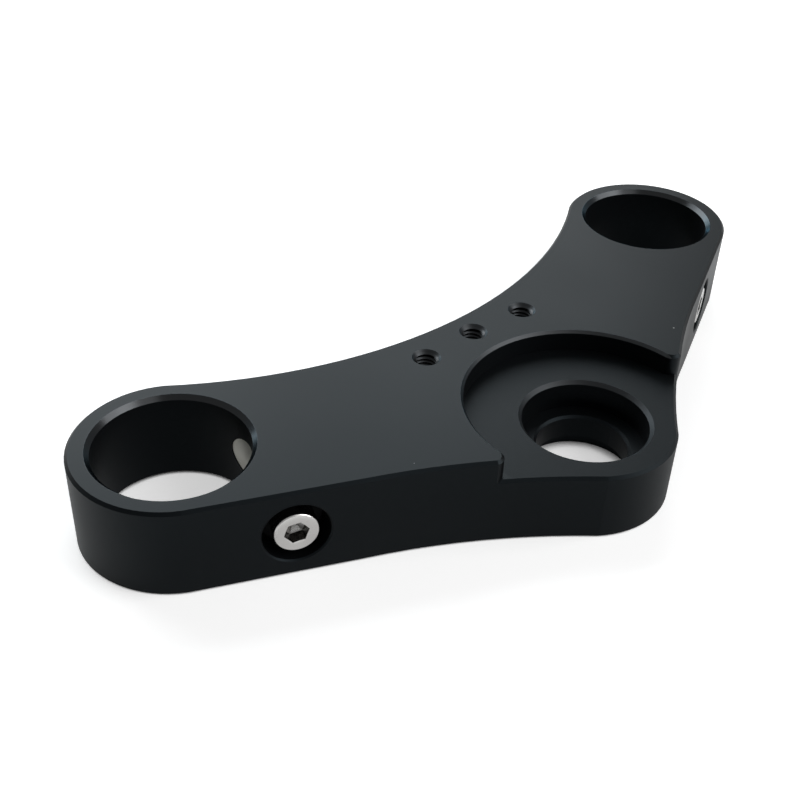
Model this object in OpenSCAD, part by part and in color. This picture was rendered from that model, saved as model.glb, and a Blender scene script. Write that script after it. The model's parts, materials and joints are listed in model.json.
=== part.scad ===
// Motorcycle triple clamp, the flat machined plate that joins a steering stem to two fork tubes.
// Lengths are in millimetres. The origin is on the stem axis at the bottom face, with +X towards
// the right fork, +Y towards the front and +Z up.

/* [Plate] */
// distance between the two fork axes
fork_spacing = 165; // [158:0.5:176]
// distance of the fork line in front of the stem axis
fork_offset = 48.1; // [45.1:0.2:52.1]
// thickness of the plate
plate_thickness = 23; // [21.5:0.5:26.5]
// wall left round each fork bore at the rounded ends
fork_wall = 5.2; // [4:0.1:6.5]
// radius of the hollow front edge
front_edge_radius = 123; // [110:1:150]
// angle between each straight rear edge and the fork line
rear_edge_angle = 25; // [24:0.2:27]
// radius of the hollow part of each rear edge
rear_edge_radius = 170; // [140:1:190]
// radius of the nose round the stem bore
nose_radius = 21.6; // [20:0.1:23]
// chamfer on the outer top edge and on the rim of the recess
edge_chamfer = 0.7; // [0.3:0.05:1]
// chamfer on the outer bottom edge
bottom_chamfer = 0.5; // [0.2:0.05:1]

/* [Fork bores] */
// diameter of each fork bore
fork_bore_diameter = 35; // [33:0.5:37]
// chamfer at both mouths of each fork bore
fork_bore_chamfer = 1.1; // [0.5:0.1:1.5]

/* [Stem] */
// radius of the round recess on the top face
recess_radius = 29.1; // [27.1:0.1:30]
// depth of the recess
recess_depth = 5.5; // [3.5:0.1:6.5]
// rounding of the two thin wall ends of the recess
recess_corner_radius = 2.7; // [2.2:0.1:3.2]
// diameter of the upper, wider part of the stem bore
counterbore_diameter = 30; // [27:0.5:32]
// depth of the wider part below the recess floor
counterbore_depth = 7.5; // [4:0.1:9]
// chamfer at the mouth of the wider part
counterbore_chamfer = 0.9; // [0.3:0.1:1.2]
// diameter of the narrow middle part of the stem bore
stem_bore_diameter = 21.8; // [18.8:0.5:24.3]
// chamfer at the upper mouth of the narrow part
stem_bore_chamfer = 0.6; // [0.3:0.1:1]
// diameter of the seat in the bottom face
seat_diameter = 26.4; // [25:0.2:29]
// depth of the seat in the bottom face
seat_depth = 4; // [2:0.1:4.5]
// chamfer at the mouth of the seat
seat_chamfer = 0.5; // [0.2:0.1:1]

/* [Tapped holes] */
// distance between neighbouring tapped holes
tapped_spacing = 16.9; // [12.1:0.2:20.1]
// distance of the outer tapped holes behind the fork line
tapped_row_offset = 11.2; // [10:0.2:12.4]
// distance of the middle tapped hole in front of the outer ones
tapped_middle_step = 0.8; // [0:0.1:1.5]
// major diameter of the tapped holes
tapped_diameter = 6; // [5:0.5:6.5]
// countersink diameter at the mouth of each tapped hole
tapped_mouth_diameter = 7.1; // [6.9:0.1:8]
// depth of the full diameter of each tapped hole
tapped_depth = 14; // [8:0.5:16]

/* [Pinch cotters] */
// distance of each cotter axis from its fork axis
cotter_offset = 22.3; // [21.5:0.1:23]
// diameter of the cotter barrels
cotter_diameter = 15; // [14:0.1:15.4]
// gap all round a barrel in its bore
cotter_gap = 0.15; // [0.05:0.05:0.2]
// depth of each cotter bore from the rear edge
cotter_bore_depth = 39; // [37.5:0.1:40]
// chamfer at the mouth of each cotter bore
cotter_mouth_chamfer = 0.4; // [0.2:0.1:0.8]
// length of the outer barrel, under the screw head
outer_barrel_length = 14.9; // [12:0.1:15.5]
// length of the inner, threaded barrel
inner_barrel_length = 15; // [12:0.1:15.2]
// open length left between the two barrels
barrel_space = 2; // [1.5:0.1:2.5]
// gap between the scalloped faces and a tube of the bore diameter
scallop_gap = 0.15; // [0.05:0.05:0.4]
// chamfer on the round edges of the barrels
barrel_chamfer = 0.4; // [0.2:0.1:0.8]

/* [Pinch screws] */
// thread diameter of the pinch screws
screw_diameter = 6; // [5:0.5:6.5]
// length of the screws under the head
screw_length = 30; // [26:0.5:31]
// diameter of the screw heads
head_diameter = 10; // [9:0.1:11]
// height of the screw heads
head_height = 6; // [5:0.1:7]
// distance of the head faces inside the rear edge
head_inset = 0.3; // [0:0.1:1]
// width across the flats of the hexagon sockets
hex_width = 5; // [4:0.1:5.5]
// depth of the hexagon sockets
hex_depth = 3; // [2:0.1:3.5]
// turn of the hexagon sockets about the screw axis
hex_turn = 19; // [0:1:59]
// gap between the shank and the clearance hole in the outer barrel
shank_gap = 0.3; // [0.1:0.1:0.5]
// gap between the shank and the threaded hole in the inner barrel
thread_gap = 0.05; // [0.02:0.01:0.1]

/* [Hidden] */
$fn = 120;
over = 1;
// half width of the flat that the drill's web leaves at the bottom of a tapped hole
drill_web = 0.4;
// slope of the cone that the drill's point leaves there
drill_slope = 31;
// where two round faces run into each other, one is set deeper by this much, so no sliver is left
tangent_lap = 0.05;
black = [0.055, 0.06, 0.07];
steel = [0.62, 0.62, 0.6];
bright_steel = [0.75, 0.75, 0.74];

// plan of the plate, worked out for the left half
half_spacing = fork_spacing / 2;
fork_bore_radius = fork_bore_diameter / 2;
end_radius = fork_bore_radius + fork_wall;
fork_centre = [-half_spacing, fork_offset];
front_centre = [0, fork_offset + sqrt(pow(front_edge_radius + end_radius, 2) - pow(half_spacing, 2))];
front_touch = fork_centre + end_radius * (front_centre - fork_centre) / norm(front_centre - fork_centre);
rear_out = [-sin(rear_edge_angle), -cos(rear_edge_angle)];
rear_along = [cos(rear_edge_angle), -sin(rear_edge_angle)];
rear_start = fork_centre + end_radius * rear_out;
rear_foot = rear_start + rear_edge_radius * rear_out;
rear_dot = rear_foot * rear_along;
rear_reach = -rear_dot - sqrt(pow(rear_dot, 2) - rear_foot * rear_foot + pow(nose_radius + rear_edge_radius, 2));
rear_centre = rear_foot + rear_reach * rear_along;
rear_end = rear_start + rear_reach * rear_along;
nose_touch = nose_radius * rear_centre / norm(rear_centre);

// levels and the stem recess
floor_level = plate_thickness - recess_depth;
ledge_level = floor_level - counterbore_depth;
recess_reach = recess_radius + recess_corner_radius;
rear_round_reach = rear_edge_radius + recess_corner_radius;
corner_point = circles_meet(recess_radius, rear_centre, rear_edge_radius);
round_centre = circles_meet(recess_reach, rear_centre, rear_round_reach);
round_at_recess = recess_radius * round_centre / recess_reach;
round_at_rear = rear_centre + rear_edge_radius * (round_centre - rear_centre) / rear_round_reach;

// cotters and screws, measured from the rear edge along the cotter axis
cotter_radius = cotter_diameter / 2;
cotter_bore_radius = cotter_radius + cotter_gap;
cotter_mouth = rear_start + cotter_offset * rear_along;
head_seat = head_inset + head_height;
inner_start = head_seat + outer_barrel_length + barrel_space;

// the left one of the two points where a circle about the stem axis meets another circle
function circles_meet(r1, centre, r2) =
    let (far = norm(centre),
         near = (r1 * r1 - r2 * r2 + far * far) / (2 * far),
         side = sqrt(r1 * r1 - near * near),
         towards = centre / far)
    near * towards - side * [-towards[1], towards[0]];

function across(p) = [-p[0], p[1]];

module both_sides() {
    children();
    mirror([1, 0, 0]) children();
}

module chamfered_disc(radius, height, top, bottom) {
    rotate_extrude()
        polygon([[0, 0], [radius - bottom, 0], [radius, bottom], [radius, height - top],
                 [radius - top, height], [0, height]]);
}

module flared_cutter(radius, height, top, bottom) {
    rotate_extrude()
        polygon([[0, -over], [radius + bottom + over, -over], [radius, bottom], [radius, height - top],
                 [radius + top + over, height + over], [0, height + over]]);
}

module fork_bore() {
    mouth = fork_bore_radius + fork_bore_chamfer + over;
    rotate_extrude()
        polygon([[0, -over], [mouth, -over], [fork_bore_radius, fork_bore_chamfer],
                 [fork_bore_radius, plate_thickness - fork_bore_chamfer], [mouth, plate_thickness + over],
                 [0, plate_thickness + over]]);
}

// the flat web between the ends and the nose
module web() {
    edge_start = rear_start - tangent_lap * rear_out;
    edge_end = rear_end - tangent_lap * rear_out;
    front_past = front_touch + over * (front_centre - front_touch) / norm(front_centre - front_touch);
    nose_past = nose_touch * (nose_radius + over) / nose_radius;
    linear_extrude(plate_thickness)
        polygon([fork_centre, edge_start, edge_end, nose_past, [0, 0], across(nose_past),
                 across(edge_end), across(edge_start), across(fork_centre), across(front_past),
                 front_past]);
}

// sloped cuts that chamfer a straight rear edge, from inside the end round to the start of the hollow
module rear_straight_chamfers() {
    run_in = 3;
    translate(rear_start - run_in * rear_along - tangent_lap * rear_out)
        rotate([0, 0, -rear_edge_angle])
            rotate([90, 0, 90])
                linear_extrude(rear_reach + run_in + over) {
                    polygon([[-over, plate_thickness - edge_chamfer - over],
                             [edge_chamfer + over, plate_thickness + over],
                             [-over, plate_thickness + over]]);
                    polygon([[-over, bottom_chamfer + over], [-over, -over], [bottom_chamfer + over, -over]]);
                }
}

module recess_corner(low) {
    post = recess_corner_radius + tangent_lap;
    into_recess = round_at_recess * (recess_radius - over) / recess_radius;
    into_rear = round_at_rear + over * (rear_centre - round_at_rear) / rear_edge_radius;
    difference() {
        translate([0, 0, low])
            linear_extrude(plate_thickness + over - low)
                polygon([round_centre, into_recess, corner_point, into_rear]);
        translate([round_centre[0], round_centre[1], 0])
            rotate_extrude()
                polygon([[0, 0], [post, 0], [post, plate_thickness - edge_chamfer],
                         [post - edge_chamfer, plate_thickness], [0, plate_thickness]]);
    }
}

module recess() {
    translate([0, 0, floor_level])
        rotate_extrude()
            polygon([[0, 0], [recess_radius, 0], [recess_radius, recess_depth - edge_chamfer],
                     [recess_radius + edge_chamfer + over, recess_depth + over],
                     [0, recess_depth + over]]);
    both_sides() recess_corner(floor_level);
}

// chamfer along the hollow rear edge at the level of the recess floor
module floor_edge_chamfer() {
    intersection() {
        translate([rear_centre[0], rear_centre[1], 0])
            flared_cutter(rear_edge_radius + 2 * tangent_lap, floor_level, edge_chamfer, bottom_chamfer);
        union() {
            translate([0, 0, floor_level - edge_chamfer]) cylinder(h = edge_chamfer + over / 2, r = recess_radius);
            recess_corner(floor_level - edge_chamfer);
        }
    }
}

module stem_bore() {
    wide = counterbore_diameter / 2;
    narrow = stem_bore_diameter / 2;
    seat = seat_diameter / 2;
    rotate_extrude()
        polygon([[0, -over], [seat + seat_chamfer + over, -over], [seat, seat_chamfer], [seat, seat_depth],
                 [narrow, seat_depth], [narrow, ledge_level - stem_bore_chamfer],
                 [narrow + stem_bore_chamfer, ledge_level],
                 [wide, ledge_level], [wide, floor_level - counterbore_chamfer],
                 [wide + counterbore_chamfer + over, floor_level + over], [0, floor_level + over]]);
}

module tapped_hole() {
    tip = (tapped_diameter / 2 - drill_web) * tan(drill_slope);
    flare = tapped_mouth_diameter / 2 - tapped_diameter / 2;
    translate([0, 0, plate_thickness])
        rotate_extrude()
            polygon([[0, -tapped_depth - tip], [drill_web, -tapped_depth - tip],
                     [tapped_diameter / 2, -tapped_depth],
                     [tapped_diameter / 2, -flare], [tapped_mouth_diameter / 2 + over, over], [0, over]]);
}

module at_cotter() {
    translate([cotter_mouth[0], cotter_mouth[1], plate_thickness / 2])
        rotate([0, 0, -rear_edge_angle])
            rotate([-90, 0, 0])
                children();
}

module cotter_bore() {
    at_cotter()
        rotate_extrude()
            polygon([[0, -over], [cotter_bore_radius + cotter_mouth_chamfer + over, -over],
                     [cotter_bore_radius, cotter_mouth_chamfer], [cotter_bore_radius, cotter_bore_depth],
                     [0, cotter_bore_depth]]);
}

module clamp_body() {
    color(black)
        difference() {
            union() {
                both_sides()
                    translate([fork_centre[0], fork_centre[1], 0])
                        chamfered_disc(end_radius, plate_thickness, edge_chamfer, bottom_chamfer);
                chamfered_disc(nose_radius, floor_level, edge_chamfer, bottom_chamfer);
                web();
            }
            translate([front_centre[0], front_centre[1], 0])
                flared_cutter(front_edge_radius + 2 * tangent_lap, plate_thickness, edge_chamfer, bottom_chamfer);
            both_sides() {
                translate([rear_centre[0], rear_centre[1], 0])
                    flared_cutter(rear_edge_radius + 2 * tangent_lap, plate_thickness, edge_chamfer, bottom_chamfer);
                rear_straight_chamfers();
                floor_edge_chamfer();
                translate([fork_centre[0], fork_centre[1], 0])
                    fork_bore();
                cotter_bore();
            }
            recess();
            stem_bore();
            for (i = [-1:1])
                translate([i * tapped_spacing,
                           fork_offset - tapped_row_offset + (1 - abs(i)) * tapped_middle_step, 0])
                    tapped_hole();
        }
}

module barrel(low, length, hole) {
    difference() {
        translate([0, 0, low])
            rotate_extrude()
                polygon([[hole, 0], [cotter_radius - barrel_chamfer, 0], [cotter_radius, barrel_chamfer],
                         [cotter_radius, length - barrel_chamfer], [cotter_radius - barrel_chamfer, length],
                         [hole, length]]);
        translate([-cotter_offset, 0, end_radius])
            rotate([90, 0, 0])
                cylinder(h = plate_thickness, r = fork_bore_radius + scallop_gap, center = true);
    }
}

module outer_cotter() {
    color(steel)
        at_cotter() barrel(head_seat, outer_barrel_length, screw_diameter / 2 + shank_gap);
}

module inner_cotter() {
    color(steel)
        at_cotter() barrel(inner_start, inner_barrel_length, screw_diameter / 2 + thread_gap);
}

module screw() {
    hex_corner = hex_width / 2 / cos(30);
    head_edge = 0.25;
    shank_edge = 0.6;
    difference() {
        rotate_extrude()
            polygon([[0, head_inset], [head_diameter / 2 - head_edge, head_inset],
                     [head_diameter / 2, head_inset + head_edge], [head_diameter / 2, head_seat],
                     [screw_diameter / 2, head_seat],
                     [screw_diameter / 2, head_seat + screw_length - shank_edge],
                     [screw_diameter / 2 - shank_edge, head_seat + screw_length],
                     [0, head_seat + screw_length]]);
        translate([0, 0, head_inset - over])
            rotate([0, 0, hex_turn])
                linear_extrude(hex_depth + over)
                    circle(r = hex_corner, $fn = 6);
        translate([0, 0, head_inset])
            rotate_extrude()
                polygon([[0, -over], [hex_corner + over, -over], [hex_corner, 0], [0, hex_corner]]);
    }
}

module pinch_screws() {
    color(bright_steel)
        both_sides()
            at_cotter() screw();
}

module left_outer_cotter() {
    outer_cotter();
}

module left_inner_cotter() {
    inner_cotter();
}

module right_outer_cotter() {
    mirror([1, 0, 0]) outer_cotter();
}

module right_inner_cotter() {
    mirror([1, 0, 0]) inner_cotter();
}

clamp_body();
left_outer_cotter();
left_inner_cotter();
right_outer_cotter();
right_inner_cotter();
pinch_screws();
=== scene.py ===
# %% [markdown]
# # A black anodised triple clamp
# The clamp is a machined aluminium plate that holds two fork tubes and the steering stem of a motorcycle.
# Its solids come ready made from the frame, at their real size. This lesson gives them their finish, cuts
# the screw threads, and sets up the floor, the light and the camera.

# %% Load the frame
import json
import math
import bmesh
import bpy
from mathutils import Matrix, Vector


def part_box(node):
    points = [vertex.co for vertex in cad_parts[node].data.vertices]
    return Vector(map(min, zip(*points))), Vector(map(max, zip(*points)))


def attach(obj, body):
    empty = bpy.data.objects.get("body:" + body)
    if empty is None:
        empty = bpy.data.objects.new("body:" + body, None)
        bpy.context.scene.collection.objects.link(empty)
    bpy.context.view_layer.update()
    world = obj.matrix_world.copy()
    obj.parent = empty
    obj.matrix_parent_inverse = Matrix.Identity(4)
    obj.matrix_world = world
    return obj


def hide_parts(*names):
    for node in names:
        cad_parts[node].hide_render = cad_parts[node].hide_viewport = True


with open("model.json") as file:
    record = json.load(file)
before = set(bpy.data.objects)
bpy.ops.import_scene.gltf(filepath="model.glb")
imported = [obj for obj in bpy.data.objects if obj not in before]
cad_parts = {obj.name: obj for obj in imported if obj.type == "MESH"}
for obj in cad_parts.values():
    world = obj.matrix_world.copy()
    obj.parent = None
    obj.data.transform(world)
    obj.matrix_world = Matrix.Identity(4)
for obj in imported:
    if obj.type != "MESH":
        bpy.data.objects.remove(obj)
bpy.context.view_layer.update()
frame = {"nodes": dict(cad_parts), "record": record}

nodes = frame["nodes"]
print("nodes:", sorted(nodes))

# %% [markdown]
# The record gives the mounts, which are the bores and the tapped holes, so their places and radii are read
# from there and not typed again. A length that the record doesn't give is a named value where it is used.

# %% Places that the frame gives
MM = 0.001
mounts = {mount["name"]: mount for mount in frame["record"]["mounts"]}
body_low, body_high = (Vector(corner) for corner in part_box("clamp_body"))
plate_thickness = body_high.z - body_low.z
tapped_names = ["left_tapped_hole", "middle_tapped_hole", "right_tapped_hole"]
recess_floor = mounts["recess_floor"]["pos_m"][2]
print("plate thickness:", round(plate_thickness / MM, 2), "mm")

# %% [markdown]
# ## The camera
# The photograph was taken from behind and to the left of the clamp, looking down. A camera is aimed by a
# turn, a tilt and a small roll. The stem axis then has to land on its place in the picture, so the camera
# stands back along the sight line of that pixel by the depth at which the clamp has its real size.

# %% Make the camera
PICTURE = 800
AZIMUTH = math.radians(43.93)
ELEVATION = math.radians(36.41)
ROLL = math.radians(2.39)
FOCAL_PIXELS = 1199.1
STEM_PIXEL = (576.9, 476.3)
STEM_DEPTH = 0.29129
SENSOR = 36.0


def camera_axes():
    forward = Vector((math.sin(AZIMUTH) * math.cos(ELEVATION), math.cos(AZIMUTH) * math.cos(ELEVATION),
                      -math.sin(ELEVATION)))
    level = Vector((math.cos(AZIMUTH), -math.sin(AZIMUTH), 0.0))
    upward = level.cross(forward)
    right = math.cos(ROLL) * level + math.sin(ROLL) * upward
    up = math.cos(ROLL) * upward - math.sin(ROLL) * level
    return right, up, forward


def make_camera():
    right, up, forward = camera_axes()
    across = (STEM_PIXEL[0] - PICTURE / 2) / FOCAL_PIXELS * STEM_DEPTH
    down = (STEM_PIXEL[1] - PICTURE / 2) / FOCAL_PIXELS * STEM_DEPTH
    place = -(across * right - down * up + STEM_DEPTH * forward)
    data = bpy.data.cameras.new("camera")
    data.sensor_width = SENSOR
    data.lens = FOCAL_PIXELS / PICTURE * SENSOR
    data.clip_start = 0.01
    camera = bpy.data.objects.new("camera", data)
    camera.matrix_world = Matrix.Translation(place) @ Matrix((right, up, -forward)).transposed().to_4x4()
    bpy.context.scene.collection.objects.link(camera)
    bpy.context.scene.camera = camera
    return camera


camera = make_camera()
print("camera stands at", [round(value, 3) for value in camera.matrix_world.translation])

# %% [markdown]
# ## Tools for materials
# A material is a small network of nodes. These helpers add a node with its settings and join two sockets,
# so that the finishes below read as short lists of what they do.

# %% Helpers for node networks
def add(tree, kind, place=(0, 0), **settings):
    node = tree.nodes.new(kind)
    node.location = place
    for name, value in settings.items():
        setattr(node, name, value)
    return node


def feed(tree, socket, value):
    if isinstance(value, bpy.types.NodeSocket):
        tree.links.new(value, socket)
    else:
        socket.default_value = value


def maths(tree, operation, first, second=0.0, clamp=False):
    node = add(tree, "ShaderNodeMath", operation=operation, use_clamp=clamp)
    feed(tree, node.inputs[0], first)
    feed(tree, node.inputs[1], second)
    return node.outputs[0]


def ramp(tree, value, low, high, low_value, high_value):
    node = add(tree, "ShaderNodeMapRange", interpolation_type="SMOOTHSTEP")
    feed(tree, node.inputs["Value"], value)
    limits = {"From Min": low, "From Max": high, "To Min": low_value, "To Max": high_value}
    for name, number in limits.items():
        feed(tree, node.inputs[name], number)
    return node.outputs["Result"]


def new_group(name, inputs, outputs):
    group = bpy.data.node_groups.new(name, "ShaderNodeTree")
    for label, kind, value in inputs:
        socket = group.interface.new_socket(label, in_out="INPUT", socket_type=kind)
        socket.default_value = value
    for label, kind in outputs:
        group.interface.new_socket(label, in_out="OUTPUT", socket_type=kind)
    start = add(group, "NodeGroupInput", (-900, 0))
    end = add(group, "NodeGroupOutput", (900, 0))
    return group, start, end


def use_group(tree, group, **values):
    node = add(tree, "ShaderNodeGroup", (-500, 0), node_tree=group)
    for name, value in values.items():
        feed(tree, node.inputs[name.replace("_", " ")], value)
    return node


def new_material(name):
    material = bpy.data.materials.new(name)
    material.use_nodes = True
    tree = material.node_tree
    shader = tree.nodes["Principled BSDF"]
    coordinates = add(tree, "ShaderNodeTexCoord", (-900, 0)).outputs["Object"]
    return material, tree, shader, coordinates


FLOAT = "NodeSocketFloat"
COLOUR = "NodeSocketColor"
VECTOR = "NodeSocketVector"
print("helpers ready")

# %% [markdown]
# ## Effects that several finishes share
# Machined metal that was etched and anodised has a very fine even grain. A noise with thousands of cells a
# metre gives it, and a slow noise lets the tone drift a little over the part, as it does on the real one.
# One group puts out both, so each material sets only how strong they are.

# %% Group for the etched grain
def make_grain_group():
    group, start, end = new_group(
        "etched grain",
        [("Vector", VECTOR, (0, 0, 0)), ("Grain size", FLOAT, 4200.0), ("Drift size", FLOAT, 14.0)],
        [("Grain", FLOAT), ("Drift", FLOAT)])
    fine = add(group, "ShaderNodeTexNoise", (-500, 150))
    fine.inputs["Detail"].default_value = 3.0
    group.links.new(start.outputs["Vector"], fine.inputs["Vector"])
    group.links.new(start.outputs["Grain size"], fine.inputs["Scale"])
    slow = add(group, "ShaderNodeTexNoise", (-500, -150))
    slow.inputs["Detail"].default_value = 2.0
    group.links.new(start.outputs["Vector"], slow.inputs["Vector"])
    group.links.new(start.outputs["Drift size"], slow.inputs["Scale"])
    group.links.new(fine.outputs["Fac"], end.inputs["Grain"])
    group.links.new(slow.outputs["Fac"], end.inputs["Drift"])
    return group


grain_group = make_grain_group()
print("group:", grain_group.name)

# %% [markdown]
# A cutter that turns leaves rings. Their pattern depends only on the distance from the axis of the cut, so
# the group measures that distance and feeds it to a noise of one dimension. Real feed marks are about a
# tenth of a millimetre apart and not quite equal.

# %% Group for turning marks
def make_ring_group():
    group, start, end = new_group(
        "turning marks",
        [("Vector", VECTOR, (0, 0, 0)), ("Rings per metre", FLOAT, 7000.0)],
        [("Rings", FLOAT), ("Radius", FLOAT)])
    parts = add(group, "ShaderNodeSeparateXYZ", (-700, 0))
    group.links.new(start.outputs["Vector"], parts.inputs[0])
    flat = add(group, "ShaderNodeCombineXYZ", (-550, 0))
    group.links.new(parts.outputs["X"], flat.inputs["X"])
    group.links.new(parts.outputs["Y"], flat.inputs["Y"])
    length = add(group, "ShaderNodeVectorMath", (-400, 0), operation="LENGTH")
    group.links.new(flat.outputs[0], length.inputs[0])
    rings = add(group, "ShaderNodeTexNoise", (-200, 0), noise_dimensions="1D")
    rings.inputs["Detail"].default_value = 2.0
    group.links.new(length.outputs["Value"], rings.inputs["W"])
    group.links.new(start.outputs["Rings per metre"], rings.inputs["Scale"])
    group.links.new(rings.outputs["Fac"], end.inputs["Rings"])
    group.links.new(length.outputs["Value"], end.inputs["Radius"])
    return group


ring_group = make_ring_group()
print("group:", ring_group.name)

# %% [markdown]
# A few specks of dust always settle on black parts. Cells of a Voronoi pattern give points at random, and
# only the very centre of a few chosen cells is lit, so most cells stay empty. Dust settles only on faces that
# look up, so the height of the normal decides as well.

# %% Group for dust specks
SPECK_RADIUS = 0.035
FACES_UP = 0.8


def make_dust_group():
    group, start, end = new_group(
        "dust specks",
        [("Vector", VECTOR, (0, 0, 0)), ("Cells per metre", FLOAT, 150.0), ("Share", FLOAT, 0.12)],
        [("Dust", FLOAT)])
    cells = add(group, "ShaderNodeTexVoronoi", (-500, 0), feature="F1")
    group.links.new(start.outputs["Vector"], cells.inputs["Vector"])
    group.links.new(start.outputs["Cells per metre"], cells.inputs["Scale"])
    split = add(group, "ShaderNodeSeparateColor", (-300, -150))
    group.links.new(cells.outputs["Color"], split.inputs[0])
    size = maths(group, "MULTIPLY", split.outputs[1], SPECK_RADIUS)
    speck = maths(group, "LESS_THAN", cells.outputs["Distance"], size)
    chosen = maths(group, "LESS_THAN", split.outputs[0], start.outputs["Share"])
    normal = add(group, "ShaderNodeSeparateXYZ")
    group.links.new(add(group, "ShaderNodeNewGeometry").outputs["Normal"], normal.inputs[0])
    settled = maths(group, "MULTIPLY", chosen, maths(group, "GREATER_THAN", normal.outputs["Z"], FACES_UP))
    group.links.new(maths(group, "MULTIPLY", speck, settled), end.inputs["Dust"])
    return group


dust_group = make_dust_group()
print("group:", dust_group.name)

# %% [markdown]
# The rims of the recess and of all the bores were turned with a sharp tool, and they shine more than the
# milled faces. A band is where the distance from an axis lies between two radii and the height between two
# levels, so one group marks any of these rims.

# %% Group for turned rims
def make_band_group():
    group, start, end = new_group(
        "turned rim",
        [("Vector", VECTOR, (0, 0, 0)), ("Axis", VECTOR, (0, 0, 0)), ("Inner radius", FLOAT, 0.0),
         ("Outer radius", FLOAT, 0.01), ("Low", FLOAT, 0.0), ("High", FLOAT, 1.0)],
        [("Rim", FLOAT)])
    offset = add(group, "ShaderNodeVectorMath", (-700, 0), operation="SUBTRACT")
    group.links.new(start.outputs["Vector"], offset.inputs[0])
    group.links.new(start.outputs["Axis"], offset.inputs[1])
    parts = add(group, "ShaderNodeSeparateXYZ", (-550, 0))
    group.links.new(offset.outputs[0], parts.inputs[0])
    across = maths(group, "POWER", parts.outputs["X"], 2.0)
    along = maths(group, "POWER", parts.outputs["Y"], 2.0)
    radius = maths(group, "SQRT", maths(group, "ADD", across, along))
    wide = maths(group, "MULTIPLY", maths(group, "GREATER_THAN", radius, start.outputs["Inner radius"]),
                 maths(group, "LESS_THAN", radius, start.outputs["Outer radius"]))
    tall = maths(group, "MULTIPLY", maths(group, "GREATER_THAN", parts.outputs["Z"], start.outputs["Low"]),
                 maths(group, "LESS_THAN", parts.outputs["Z"], start.outputs["High"]))
    group.links.new(maths(group, "MULTIPLY", wide, tall), end.inputs["Rim"])
    return group


band_group = make_band_group()
print("group:", band_group.name)

# %% [markdown]
# ## Black anodised aluminium
# Anodising turns the skin of the metal into a hard oxide that is dyed black. It looks like a dark satin
# dielectric: almost no colour of its own, and a wide soft sheen. The floor of the recess was cut with a
# turning tool about the stem, so the rings show there and nowhere else. A rim band starts just outside its
# bore and is as deep as it is wide, and the fork bores' rims are polished a little as well.

# %% Material of the plate
BLACK = (0.0018, 0.002, 0.0023, 1.0)
BLACK_WORN = (0.0028, 0.0032, 0.0037, 1.0)
SHEEN_TINT = (0.7, 0.89, 1.0, 1.0)
SHEEN_LEVEL = 0.125
DUST_COLOUR = (0.3, 0.3, 0.3, 1.0)
RIM_COLOUR = (0.038, 0.04, 0.042, 1.0)
RECESS_RADIUS = 29.1 * MM
STEM_MOUTH_RADIUS = mounts["stem_counterbore"]["dims"]["r_mm"] * MM
FORK_BORE_RADIUS = mounts["left_fork_clamp"]["dims"]["r_mm"] * MM
TAPPED_RIM_RADIUS = 2.57 * MM
RIM_GAP = 0.03 * MM
FORK_RIM_POLISH = 0.2
GRAIN_SHARE = 0.6
WEAR_START = 0.35
DRIFT_LOW = 0.3
DRIFT_HIGH = 0.7
SATIN_LOW = 0.37
SATIN_HIGH = 0.43
RECESS_ROUGHER = 0.07


def rim_band(axis, radius, width, top, shine, polish=0.0):
    return axis, radius + RIM_GAP, radius + width, top - width, shine, polish


RIM_BANDS = [rim_band((0, 0), RECESS_RADIUS, 0.72 * MM, plate_thickness, 1.0),
             rim_band((0, 0), STEM_MOUTH_RADIUS, 0.92 * MM, recess_floor, 0.8)]
RIM_BANDS += [rim_band(mounts[hole]["pos_m"][:2], TAPPED_RIM_RADIUS, 1.0 * MM, plate_thickness, 0.8)
              for hole in tapped_names]
RIM_BANDS += [rim_band(mounts[bore]["pos_m"][:2], FORK_BORE_RADIUS, 1.12 * MM, plate_thickness, 1.0,
                       FORK_RIM_POLISH) for bore in ("left_fork_clamp", "right_fork_clamp")]


def all_rims(tree, place):
    shine, polish = 0.0, 0.0
    for (axis_x, axis_y), inner, outer, low, band_shine, band_polish in RIM_BANDS:
        band = use_group(tree, band_group, Vector=place, Axis=(axis_x, axis_y, 0), Inner_radius=inner,
                         Outer_radius=outer, Low=low)
        shine = maths(tree, "MAXIMUM", maths(tree, "MULTIPLY", band.outputs["Rim"], band_shine), shine)
        if band_polish > 0:
            polish = maths(tree, "MAXIMUM", maths(tree, "MULTIPLY", band.outputs["Rim"], band_polish), polish)
    return shine, polish


def blend(tree, factor, first, second):
    node = add(tree, "ShaderNodeMix", data_type="RGBA")
    feed(tree, node.inputs["Factor"], factor)
    feed(tree, node.inputs["A"], first)
    feed(tree, node.inputs["B"], second)
    return node.outputs["Result"]


def roughen(tree, shader, height, strength, depth):
    bump = add(tree, "ShaderNodeBump")
    bump.inputs["Strength"].default_value = strength
    bump.inputs["Distance"].default_value = depth
    feed(tree, bump.inputs["Height"], height)
    feed(tree, shader.inputs["Normal"], bump.outputs["Normal"])


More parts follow.
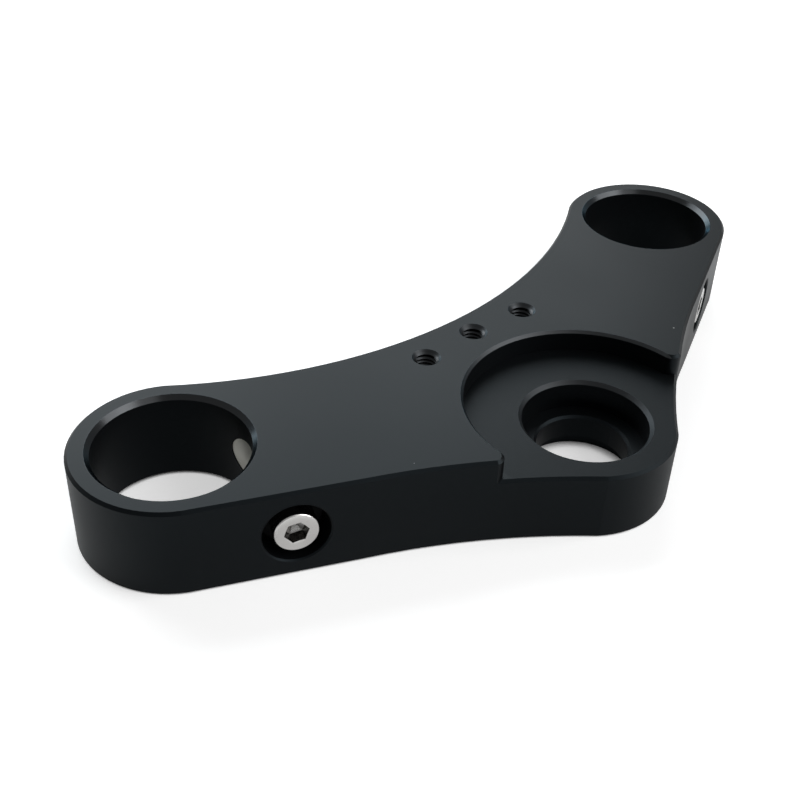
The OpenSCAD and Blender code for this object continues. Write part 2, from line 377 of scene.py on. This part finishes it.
def make_anodised(name):
    material, tree, shader, place = new_material(name)
    grain = use_group(tree, grain_group, Vector=place)
    rings = use_group(tree, ring_group, Vector=place)
    dust = use_group(tree, dust_group, Vector=place)
    wear = ramp(tree, grain.outputs["Drift"], WEAR_START, DRIFT_HIGH, 0.0, 1.0)
    tone = blend(tree, wear, BLACK, BLACK_WORN)
    spotted = blend(tree, dust.outputs["Dust"], tone, DUST_COLOUR)
    shine, polish = all_rims(tree, place)
    feed(tree, shader.inputs["Base Color"], blend(tree, shine, spotted, RIM_COLOUR))
    feed(tree, shader.inputs["Metallic"], shine)
    in_recess = maths(tree, "LESS_THAN", rings.outputs["Radius"], RECESS_RADIUS)
    ring_height = maths(tree, "MULTIPLY", rings.outputs["Rings"], in_recess)
    height = maths(tree, "ADD", maths(tree, "MULTIPLY", grain.outputs["Grain"], GRAIN_SHARE), ring_height)
    roughen(tree, shader, height, 0.18, 0.04 * MM)
    satin = ramp(tree, grain.outputs["Drift"], DRIFT_LOW, DRIFT_HIGH, SATIN_LOW, SATIN_HIGH)
    milled = maths(tree, "ADD", satin, maths(tree, "MULTIPLY", in_recess, RECESS_ROUGHER))
    feed(tree, shader.inputs["Roughness"], maths(tree, "SUBTRACT", milled, polish))
    shader.inputs["Specular IOR Level"].default_value = SHEEN_LEVEL
    shader.inputs["Specular Tint"].default_value = SHEEN_TINT
    return material


plate_finish = make_anodised("black anodised")
print("material:", plate_finish.name)

# %% [markdown]
# ## Steel
# The inner cotters are turned from steel bar and stay bare, so they are a metal with a soft grey shine. The
# outer ones are steel too, made near black as painted shade for the deep ring round each screw head where
# they show.
# The screws are stainless and smoother. All use the same grain, with other values. The walls of a screw's
# socket get a darker colour on the faces that carry the mark "socket", as painted shade for the deep inside
# of the socket.
# The crests of the tapped threads lost some of their black, so they get a dark metal of their own.

# %% Materials of the cotters and the screws
def make_steel(name, colour, darker, low_roughness, high_roughness):
    material, tree, shader, place = new_material(name)
    grain = use_group(tree, grain_group, Vector=place, Drift_size=160.0)
    feed(tree, shader.inputs["Base Color"], blend(tree, grain.outputs["Drift"], colour, darker))
    shader.inputs["Metallic"].default_value = 1.0
    feed(tree, shader.inputs["Roughness"],
         ramp(tree, grain.outputs["Drift"], DRIFT_LOW, DRIFT_HIGH, low_roughness, high_roughness))
    roughen(tree, shader, grain.outputs["Grain"], 0.15, 0.03 * MM)
    return material


cotter_finish = make_steel("turned steel", (0.72, 0.72, 0.66, 1), (0.58, 0.58, 0.53, 1), 0.34, 0.46)
thread_finish = make_steel("anodised thread", (0.042, 0.045, 0.048, 1), (0.03, 0.032, 0.034, 1), 0.3, 0.4)
# Painted shade: the outer cotters are bare steel like the inner ones, made near black for the deep ring round
# each screw head.
painted_shade_cotter_finish = make_steel("steel darkened as painted shade", (0.012, 0.012, 0.013, 1), (0.02, 0.02, 0.021, 1), 0.5, 0.6)
# Painted shade for the deep inside of a screw's socket, put on the faces marked "socket".
SOCKET_SHADE_COLOUR = (0.09, 0.085, 0.08, 1.0)


def paint_socket_shade(material):
    tree = material.node_tree
    shader = tree.nodes["Principled BSDF"]
    steel = shader.inputs["Base Color"].links[0].from_socket
    mark = add(tree, "ShaderNodeAttribute", attribute_name="socket")
    feed(tree, shader.inputs["Base Color"], blend(tree, mark.outputs["Fac"], steel, SOCKET_SHADE_COLOUR))


screw_finish = make_steel("stainless steel", (0.7, 0.69, 0.675, 1), (0.58, 0.57, 0.555, 1), 0.2, 0.28)
paint_socket_shade(screw_finish)
print("materials:", cotter_finish.name + ",", painted_shade_cotter_finish.name, "and", screw_finish.name)

# %% [markdown]
# So each one only gets its material.

# %% Dress the solids of the frame
def dress(node_name, material):
    mesh = nodes[node_name].data
    mesh.materials.clear()
    mesh.materials.append(material)
    for polygon in mesh.polygons:
        polygon.material_index = 0


FINISHES = {"clamp_body": plate_finish, "pinch_screws": screw_finish,
            "left_outer_cotter": painted_shade_cotter_finish, "right_outer_cotter": painted_shade_cotter_finish,
            "left_inner_cotter": cotter_finish, "right_inner_cotter": cotter_finish}
for node_name, material in FINISHES.items():
    dress(node_name, material)
    print(node_name, "has", len(nodes[node_name].data.polygons), "triangles")

# %% [markdown]
# ## Threads
# A thread is one ridge that winds round an axis. Its section is a small triangle with a flat top. Spinning
# that section about the axis, with a small step along it each time, makes the whole ridge, so no point of
# the helix is worked out by hand. A step upwards for a turn to the left gives a right-hand thread, and M6
# rises one millimetre a turn.

# %% Helper that winds a ridge
PITCH = 1.0 * MM
STEPS_A_TURN = 40
RIDGE_FOOT = 0.42 * PITCH
RIDGE_CREST = 0.07 * PITCH
SHARP_ANGLE = math.radians(30)


def draw_section(mesh, axis_place, section):
    corners = [mesh.verts.new(axis_place + Vector((radius, 0, height))) for radius, height in section]
    return corners + [mesh.edges.new(pair) for pair in zip(corners, corners[1:] + corners[:1])]


def wind_ridge(mesh, axis_place, wall_radius, crest_radius, start, turns):
    section = [(wall_radius, start + RIDGE_FOOT), (crest_radius, start + RIDGE_CREST),
               (crest_radius, start - RIDGE_CREST), (wall_radius, start - RIDGE_FOOT)]
    bmesh.ops.spin(mesh, geom=draw_section(mesh, axis_place, section), cent=axis_place, axis=(0, 0, 1),
                   dvec=(0, 0, PITCH / STEPS_A_TURN), angle=2 * math.pi * turns,
                   steps=STEPS_A_TURN * turns, use_merge=False, use_duplicate=False)
    bmesh.ops.holes_fill(mesh, edges=[edge for edge in mesh.edges if edge.is_boundary], sides=4)


def finish_piece(mesh, name, material):
    bmesh.ops.recalc_face_normals(mesh, faces=mesh.faces)
    data = bpy.data.meshes.new(name)
    mesh.to_mesh(data)
    mesh.free()
    data.materials.append(material)
    data.shade_smooth()
    data.set_sharp_from_angle(angle=SHARP_ANGLE)
    piece = bpy.data.objects.new(name, data)
    bpy.context.scene.collection.objects.link(piece)
    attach(piece, "root")
    print(name, "has", len(data.polygons), "faces")
    return piece


print("one turn of a ridge takes", STEPS_A_TURN, "steps")

# %% [markdown]
# The tap starts below a countersink that reaches in as far as the crests. The solid's countersink stops at
# the outer diameter of the thread, so a small three-sided ring carries its cone on down to the crests, and
# the ridge ends under it. Ring and ridge reach a hundredth of a millimetre into the wall, so there is no gap.

# %% Cut the threads of the tapped holes
CREST_RADIUS = 2.55 * MM
WALL_OVERLAP = 0.01 * MM
RING_TOP = 0.53 * MM
CONE_END = 0.92 * MM
RING_FOOT = 1.15 * MM
LOWEST_TURN = 13.4 * MM
TAPPED_TURNS = 12


def make_tapped_thread(name, mount):
    axis_place = Vector((mount["pos_m"][0], mount["pos_m"][1], plate_thickness))
    wall_radius = mount["dims"]["r_mm"] * MM + WALL_OVERLAP
    mesh = bmesh.new()
    section = [(wall_radius, -RING_TOP), (CREST_RADIUS, -CONE_END), (wall_radius, -RING_FOOT)]
    bmesh.ops.spin(mesh, geom=draw_section(mesh, axis_place, section), cent=axis_place, axis=(0, 0, 1),
                   angle=2 * math.pi, steps=2 * STEPS_A_TURN, use_merge=True, use_duplicate=False)
    wind_ridge(mesh, axis_place, wall_radius, CREST_RADIUS, -LOWEST_TURN, TAPPED_TURNS)
    return finish_piece(mesh, name, thread_finish)


for hole in tapped_names:
    make_tapped_thread(hole.replace("hole", "thread"), mounts[hole])

# %% [markdown]
# ## The pinch screws
# Each screw is an M6 socket head screw of stainless steel. Its axis lies square to the straight rear edge, at
# half the thickness of the plate. The screw is made standing on its own axis, with its depth below the edge
# as z, and only at the end turned into its bore. The right one is a turned copy and no mirror image, because
# a mirror would make its thread left-handed.

# %% Sizes and place of the screws
REAR_ANGLE = math.radians(25)
END_RADIUS = 22.7 * MM
COTTER_OFFSET = 22.3 * MM
HEX_CORNER = 5.0 * MM / 2 / math.cos(math.radians(30))
HEX_TURN = math.radians(19)
HEX_FLOOR = 3.3 * MM
DRILL_POINT = 0.9 * MM
ROUND_STEPS = 96


def screw_place(fork_name, side):
    fork = Vector(mounts[fork_name]["pos_m"])
    outward = Vector((side * math.sin(REAR_ANGLE), -math.cos(REAR_ANGLE), 0))
    along = Vector((math.cos(REAR_ANGLE), side * math.sin(REAR_ANGLE), 0))
    mouth = fork + END_RADIUS * outward - side * COTTER_OFFSET * along
    mouth.z = plate_thickness / 2
    return Matrix.Translation(mouth) @ Matrix((along, Vector((0, 0, -1)), -outward)).transposed().to_4x4()


SCREW_PLACES = {"left": screw_place("left_fork_clamp", -1), "right": screw_place("right_fork_clamp", 1)}
for side, place in SCREW_PLACES.items():
    print(side, "screw starts at", [round(value / MM, 2) for value in place.translation], "mm")

# %% [markdown]
# The whole skin of a screw grows from rings of edges. Each further ring is the last one extruded, and its
# corners are then moved out to the ring's own radius and depth. Where the ring is knurled, every second
# corner stays a little further in.

# %% Helpers that grow a ring of edges
def grow_ring(mesh, ring):
    grown = bmesh.ops.extrude_edge_only(mesh, edges=ring)["geom"]
    corners = [item for item in grown if isinstance(item, bmesh.types.BMVert)]
    corners.sort(key=lambda corner: math.atan2(corner.co.y, corner.co.x))
    return corners, [item for item in grown if isinstance(item, bmesh.types.BMEdge)]


def place_evenly(corners, radius, depth, groove):
    for number, corner in enumerate(corners):
        turn = 2 * math.pi * number / len(corners) - math.pi
        reach = radius - groove * (number % 2)
        corner.co = (reach * math.cos(turn), reach * math.sin(turn), depth)


print("rings have", ROUND_STEPS, "corners")

# %% [markdown]
# The head starts from the hexagon of its socket, so the socket, its countersink, the face, the knurled side,
# the underside and the shank come out as one skin. A ring's three values are its radius, its depth and the
# depth of its knurl, in millimetres. On a cone the depth grows evenly with the distance inside its rim, which
# gives the hexagon the curved lips that a real countersink leaves. The socket's walls are marked for their
# darker colour, which is painted shade for the deep inside of the socket.

# %% Make the screws
HEAD_INSET = 0.3
HEAD_RADIUS = 5.0
HEAD_SEAT = 6.3
CONE_RADIUS = 2.98
CONE_SLOPE = 0.3
KNURL = 0.13
TIP = 36.3
RIDGE_ROOT = 2.58 * MM
THREAD_RADIUS = 3.0 * MM
THREAD_START = 18.3 * MM
SCREW_TURNS = 17
HEAD_RINGS = [(CONE_RADIUS, HEAD_INSET, 0), (4.76, HEAD_INSET, 0), (4.81, 0.32, 0), (4.98, 0.5, 0),
              (HEAD_RADIUS, 0.55, 0), (HEAD_RADIUS, 0.8, KNURL), (HEAD_RADIUS, 5.5, KNURL),
              (4.97, 5.75, 0), (4.97, 6.18, 0), (4.85, HEAD_SEAT, 0)]
SHANK_RINGS = [(3.25, HEAD_SEAT, 0), (3.05, 6.4, 0), (3.0, 6.65, 0), (3.0, 17.5, 0), (2.6, 18.2, 0),
               (2.6, 35.7, 0), (2.15, TIP, 0)]


def make_screw_mesh():
    mesh = bmesh.new()
    mark = mesh.faces.layers.float.new("socket")
    bmesh.ops.create_circle(mesh, segments=6, radius=HEX_CORNER)
    bmesh.ops.subdivide_edges(mesh, edges=mesh.edges, cuts=ROUND_STEPS // 6 - 1)
    bmesh.ops.rotate(mesh, verts=mesh.verts, matrix=Matrix.Rotation(HEX_TURN, 3, "Z"))
    bmesh.ops.translate(mesh, verts=mesh.verts, vec=(0, 0, HEX_FLOOR))
    floor_ring = list(mesh.edges)
    corners, ring = grow_ring(mesh, floor_ring)
    walls = list(mesh.faces)
    for corner in corners:
        corner.co.z = HEAD_INSET * MM + CONE_SLOPE * (CONE_RADIUS * MM - corner.co.to_2d().length)
    for radius, depth, groove in HEAD_RINGS + SHANK_RINGS:
        corners, ring = grow_ring(mesh, ring)
        place_evenly(corners, radius * MM, depth * MM, groove * MM)
    bmesh.ops.pointmerge(mesh, verts=grow_ring(mesh, ring)[0], merge_co=(0, 0, TIP * MM))
    bmesh.ops.pointmerge(mesh, verts=grow_ring(mesh, floor_ring)[0],
                         merge_co=(0, 0, HEX_FLOOR + DRILL_POINT))
    bmesh.ops.recalc_face_normals(mesh, faces=mesh.faces)
    wind_ridge(mesh, Vector((0, 0, 0)), RIDGE_ROOT, THREAD_RADIUS, THREAD_START, SCREW_TURNS)
    for face in mesh.faces:
        face[mark] = 0.0
    for face in walls:
        face[mark] = 1.0
    return mesh


def make_screws():
    mesh = make_screw_mesh()
    left_corners = list(mesh.verts)
    copied = bmesh.ops.duplicate(mesh, geom=list(mesh.verts) + list(mesh.edges) + list(mesh.faces))["geom"]
    right_corners = [item for item in copied if isinstance(item, bmesh.types.BMVert)]
    bmesh.ops.transform(mesh, matrix=SCREW_PLACES["left"], verts=left_corners)
    bmesh.ops.transform(mesh, matrix=SCREW_PLACES["right"], verts=right_corners)
    return finish_piece(mesh, "detailed_pinch_screws", screw_finish)


screws = make_screws()
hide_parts("pinch_screws")

# %% [markdown]
# ## Floor, light and world
# Catalogue pictures of black parts stand on a white sheet under large soft lamps. The floor is a plain pale
# sheet that keeps the shadow. The camera and mirror-like metal see it a little brighter than it lights the
# part, which makes it white without more light on the black. Close to the part, where little of the room
# reaches it, the floor gets none of that and keeps its contact shadow.

# %% Make the floor
FLOOR_SIZE = 3.0
FLOOR_COLOUR = (0.8, 0.8, 0.8, 1.0)
FLOOR_LIFT = 0.55
REFLECTED_LIFT = 0.25
CONTACT_REACH = 11 * MM
SHELTERED = 0.15
OPEN = 0.4
FLOOR_GAP = 0.02 * MM


def lift_by_ray(tree):
    path = add(tree, "ShaderNodeLightPath")
    straight = maths(tree, "MAXIMUM", path.outputs["Is Camera Ray"], path.outputs["Is Transmission Ray"])
    lift = maths(tree, "MAXIMUM", maths(tree, "MULTIPLY", straight, FLOOR_LIFT),
                 maths(tree, "MULTIPLY", path.outputs["Is Glossy Ray"], REFLECTED_LIFT))
    shelter = add(tree, "ShaderNodeAmbientOcclusion", samples=8)
    shelter.inputs["Distance"].default_value = CONTACT_REACH
    return maths(tree, "MULTIPLY", lift, ramp(tree, shelter.outputs["AO"], SHELTERED, OPEN, 0.0, 1.0))


def make_floor():
    mesh = bmesh.new()
    bmesh.ops.create_grid(mesh, x_segments=1, y_segments=1, size=FLOOR_SIZE / 2)
    data = bpy.data.meshes.new("floor")
    mesh.to_mesh(data)
    mesh.free()
    floor = bpy.data.objects.new("floor", data)
    floor.location.z = body_low.z - FLOOR_GAP
    bpy.context.scene.collection.objects.link(floor)
    material, tree, shader, place = new_material("floor paper")
    shader.inputs["Base Color"].default_value = FLOOR_COLOUR
    shader.inputs["Roughness"].default_value = 0.9
    shader.inputs["Specular IOR Level"].default_value = 0.0
    shader.inputs["Emission Color"].default_value = (1, 1, 1, 1)
    feed(tree, shader.inputs["Emission Strength"], lift_by_ray(tree))
    data.materials.append(material)
    return floor


floor = make_floor()
print("floor is", FLOOR_SIZE, "m wide")

# %% [markdown]
# Four area lamps light the part. The long one stands behind it and is a little cool. A flat black top mirrors
# it at a grazing angle, and that sheen makes the top read as dark grey and not as black. The other three
# light the left rims, the nose and the right rear side.

# %% Make the lamps
LAMP_AIM = Vector((0, 20 * MM, 10 * MM))
LAMP_DISTANCE = 1.6
COOL_WHITE = (0.93, 0.98, 1.0)


def make_lamp(name, azimuth, elevation, width, height, power, colour=(1, 1, 1)):
    turn, tilt = math.radians(azimuth), math.radians(elevation)
    away = Vector((math.sin(turn) * math.cos(tilt), math.cos(turn) * math.cos(tilt), math.sin(tilt)))
    data = bpy.data.lights.new(name, "AREA")
    data.shape = "RECTANGLE"
    data.size = width
    data.size_y = height
    data.energy = power
    data.color = colour
    lamp = bpy.data.objects.new(name, data)
    lamp.location = away * LAMP_DISTANCE + LAMP_AIM
    lamp.rotation_euler = (-away).to_track_quat("-Z", "Y").to_euler()
    bpy.context.scene.collection.objects.link(lamp)


make_lamp("back lamp", azimuth=20.5, elevation=37, width=2.0, height=1.2, power=24, colour=COOL_WHITE)
make_lamp("left lamp", azimuth=5, elevation=20, width=1.2, height=1.0, power=8)
make_lamp("right lamp", azimuth=140, elevation=33, width=1.2, height=1.2, power=16)
make_lamp("front lamp", azimuth=165, elevation=45, width=1.2, height=1.2, power=5)

# %% [markdown]
# The world behind the floor is white for the camera, a pale grey in reflections, and only a dim grey for
# everything else, so that it doesn't wash out the black.

# %% Make the world
WORLD_LIGHT = 0.09
WORLD_REFLECTED = 0.38


def make_world():
    world = bpy.data.worlds.new("studio")
    bpy.context.scene.world = world
    world.use_nodes = True
    tree = world.node_tree
    background = tree.nodes["Background"]
    path = add(tree, "ShaderNodeLightPath")
    background.inputs["Color"].default_value = (1, 1, 1, 1)
    mirrored = maths(tree, "MULTIPLY", path.outputs["Is Glossy Ray"], WORLD_REFLECTED)
    seen = maths(tree, "MAXIMUM", path.outputs["Is Camera Ray"], mirrored)
    feed(tree, background.inputs["Strength"], maths(tree, "MAXIMUM", seen, WORLD_LIGHT))
    return world


make_world()
bpy.context.scene.view_settings.view_transform = "Standard"
print("world light:", WORLD_LIGHT)

# %% Finish
print("scene ready")
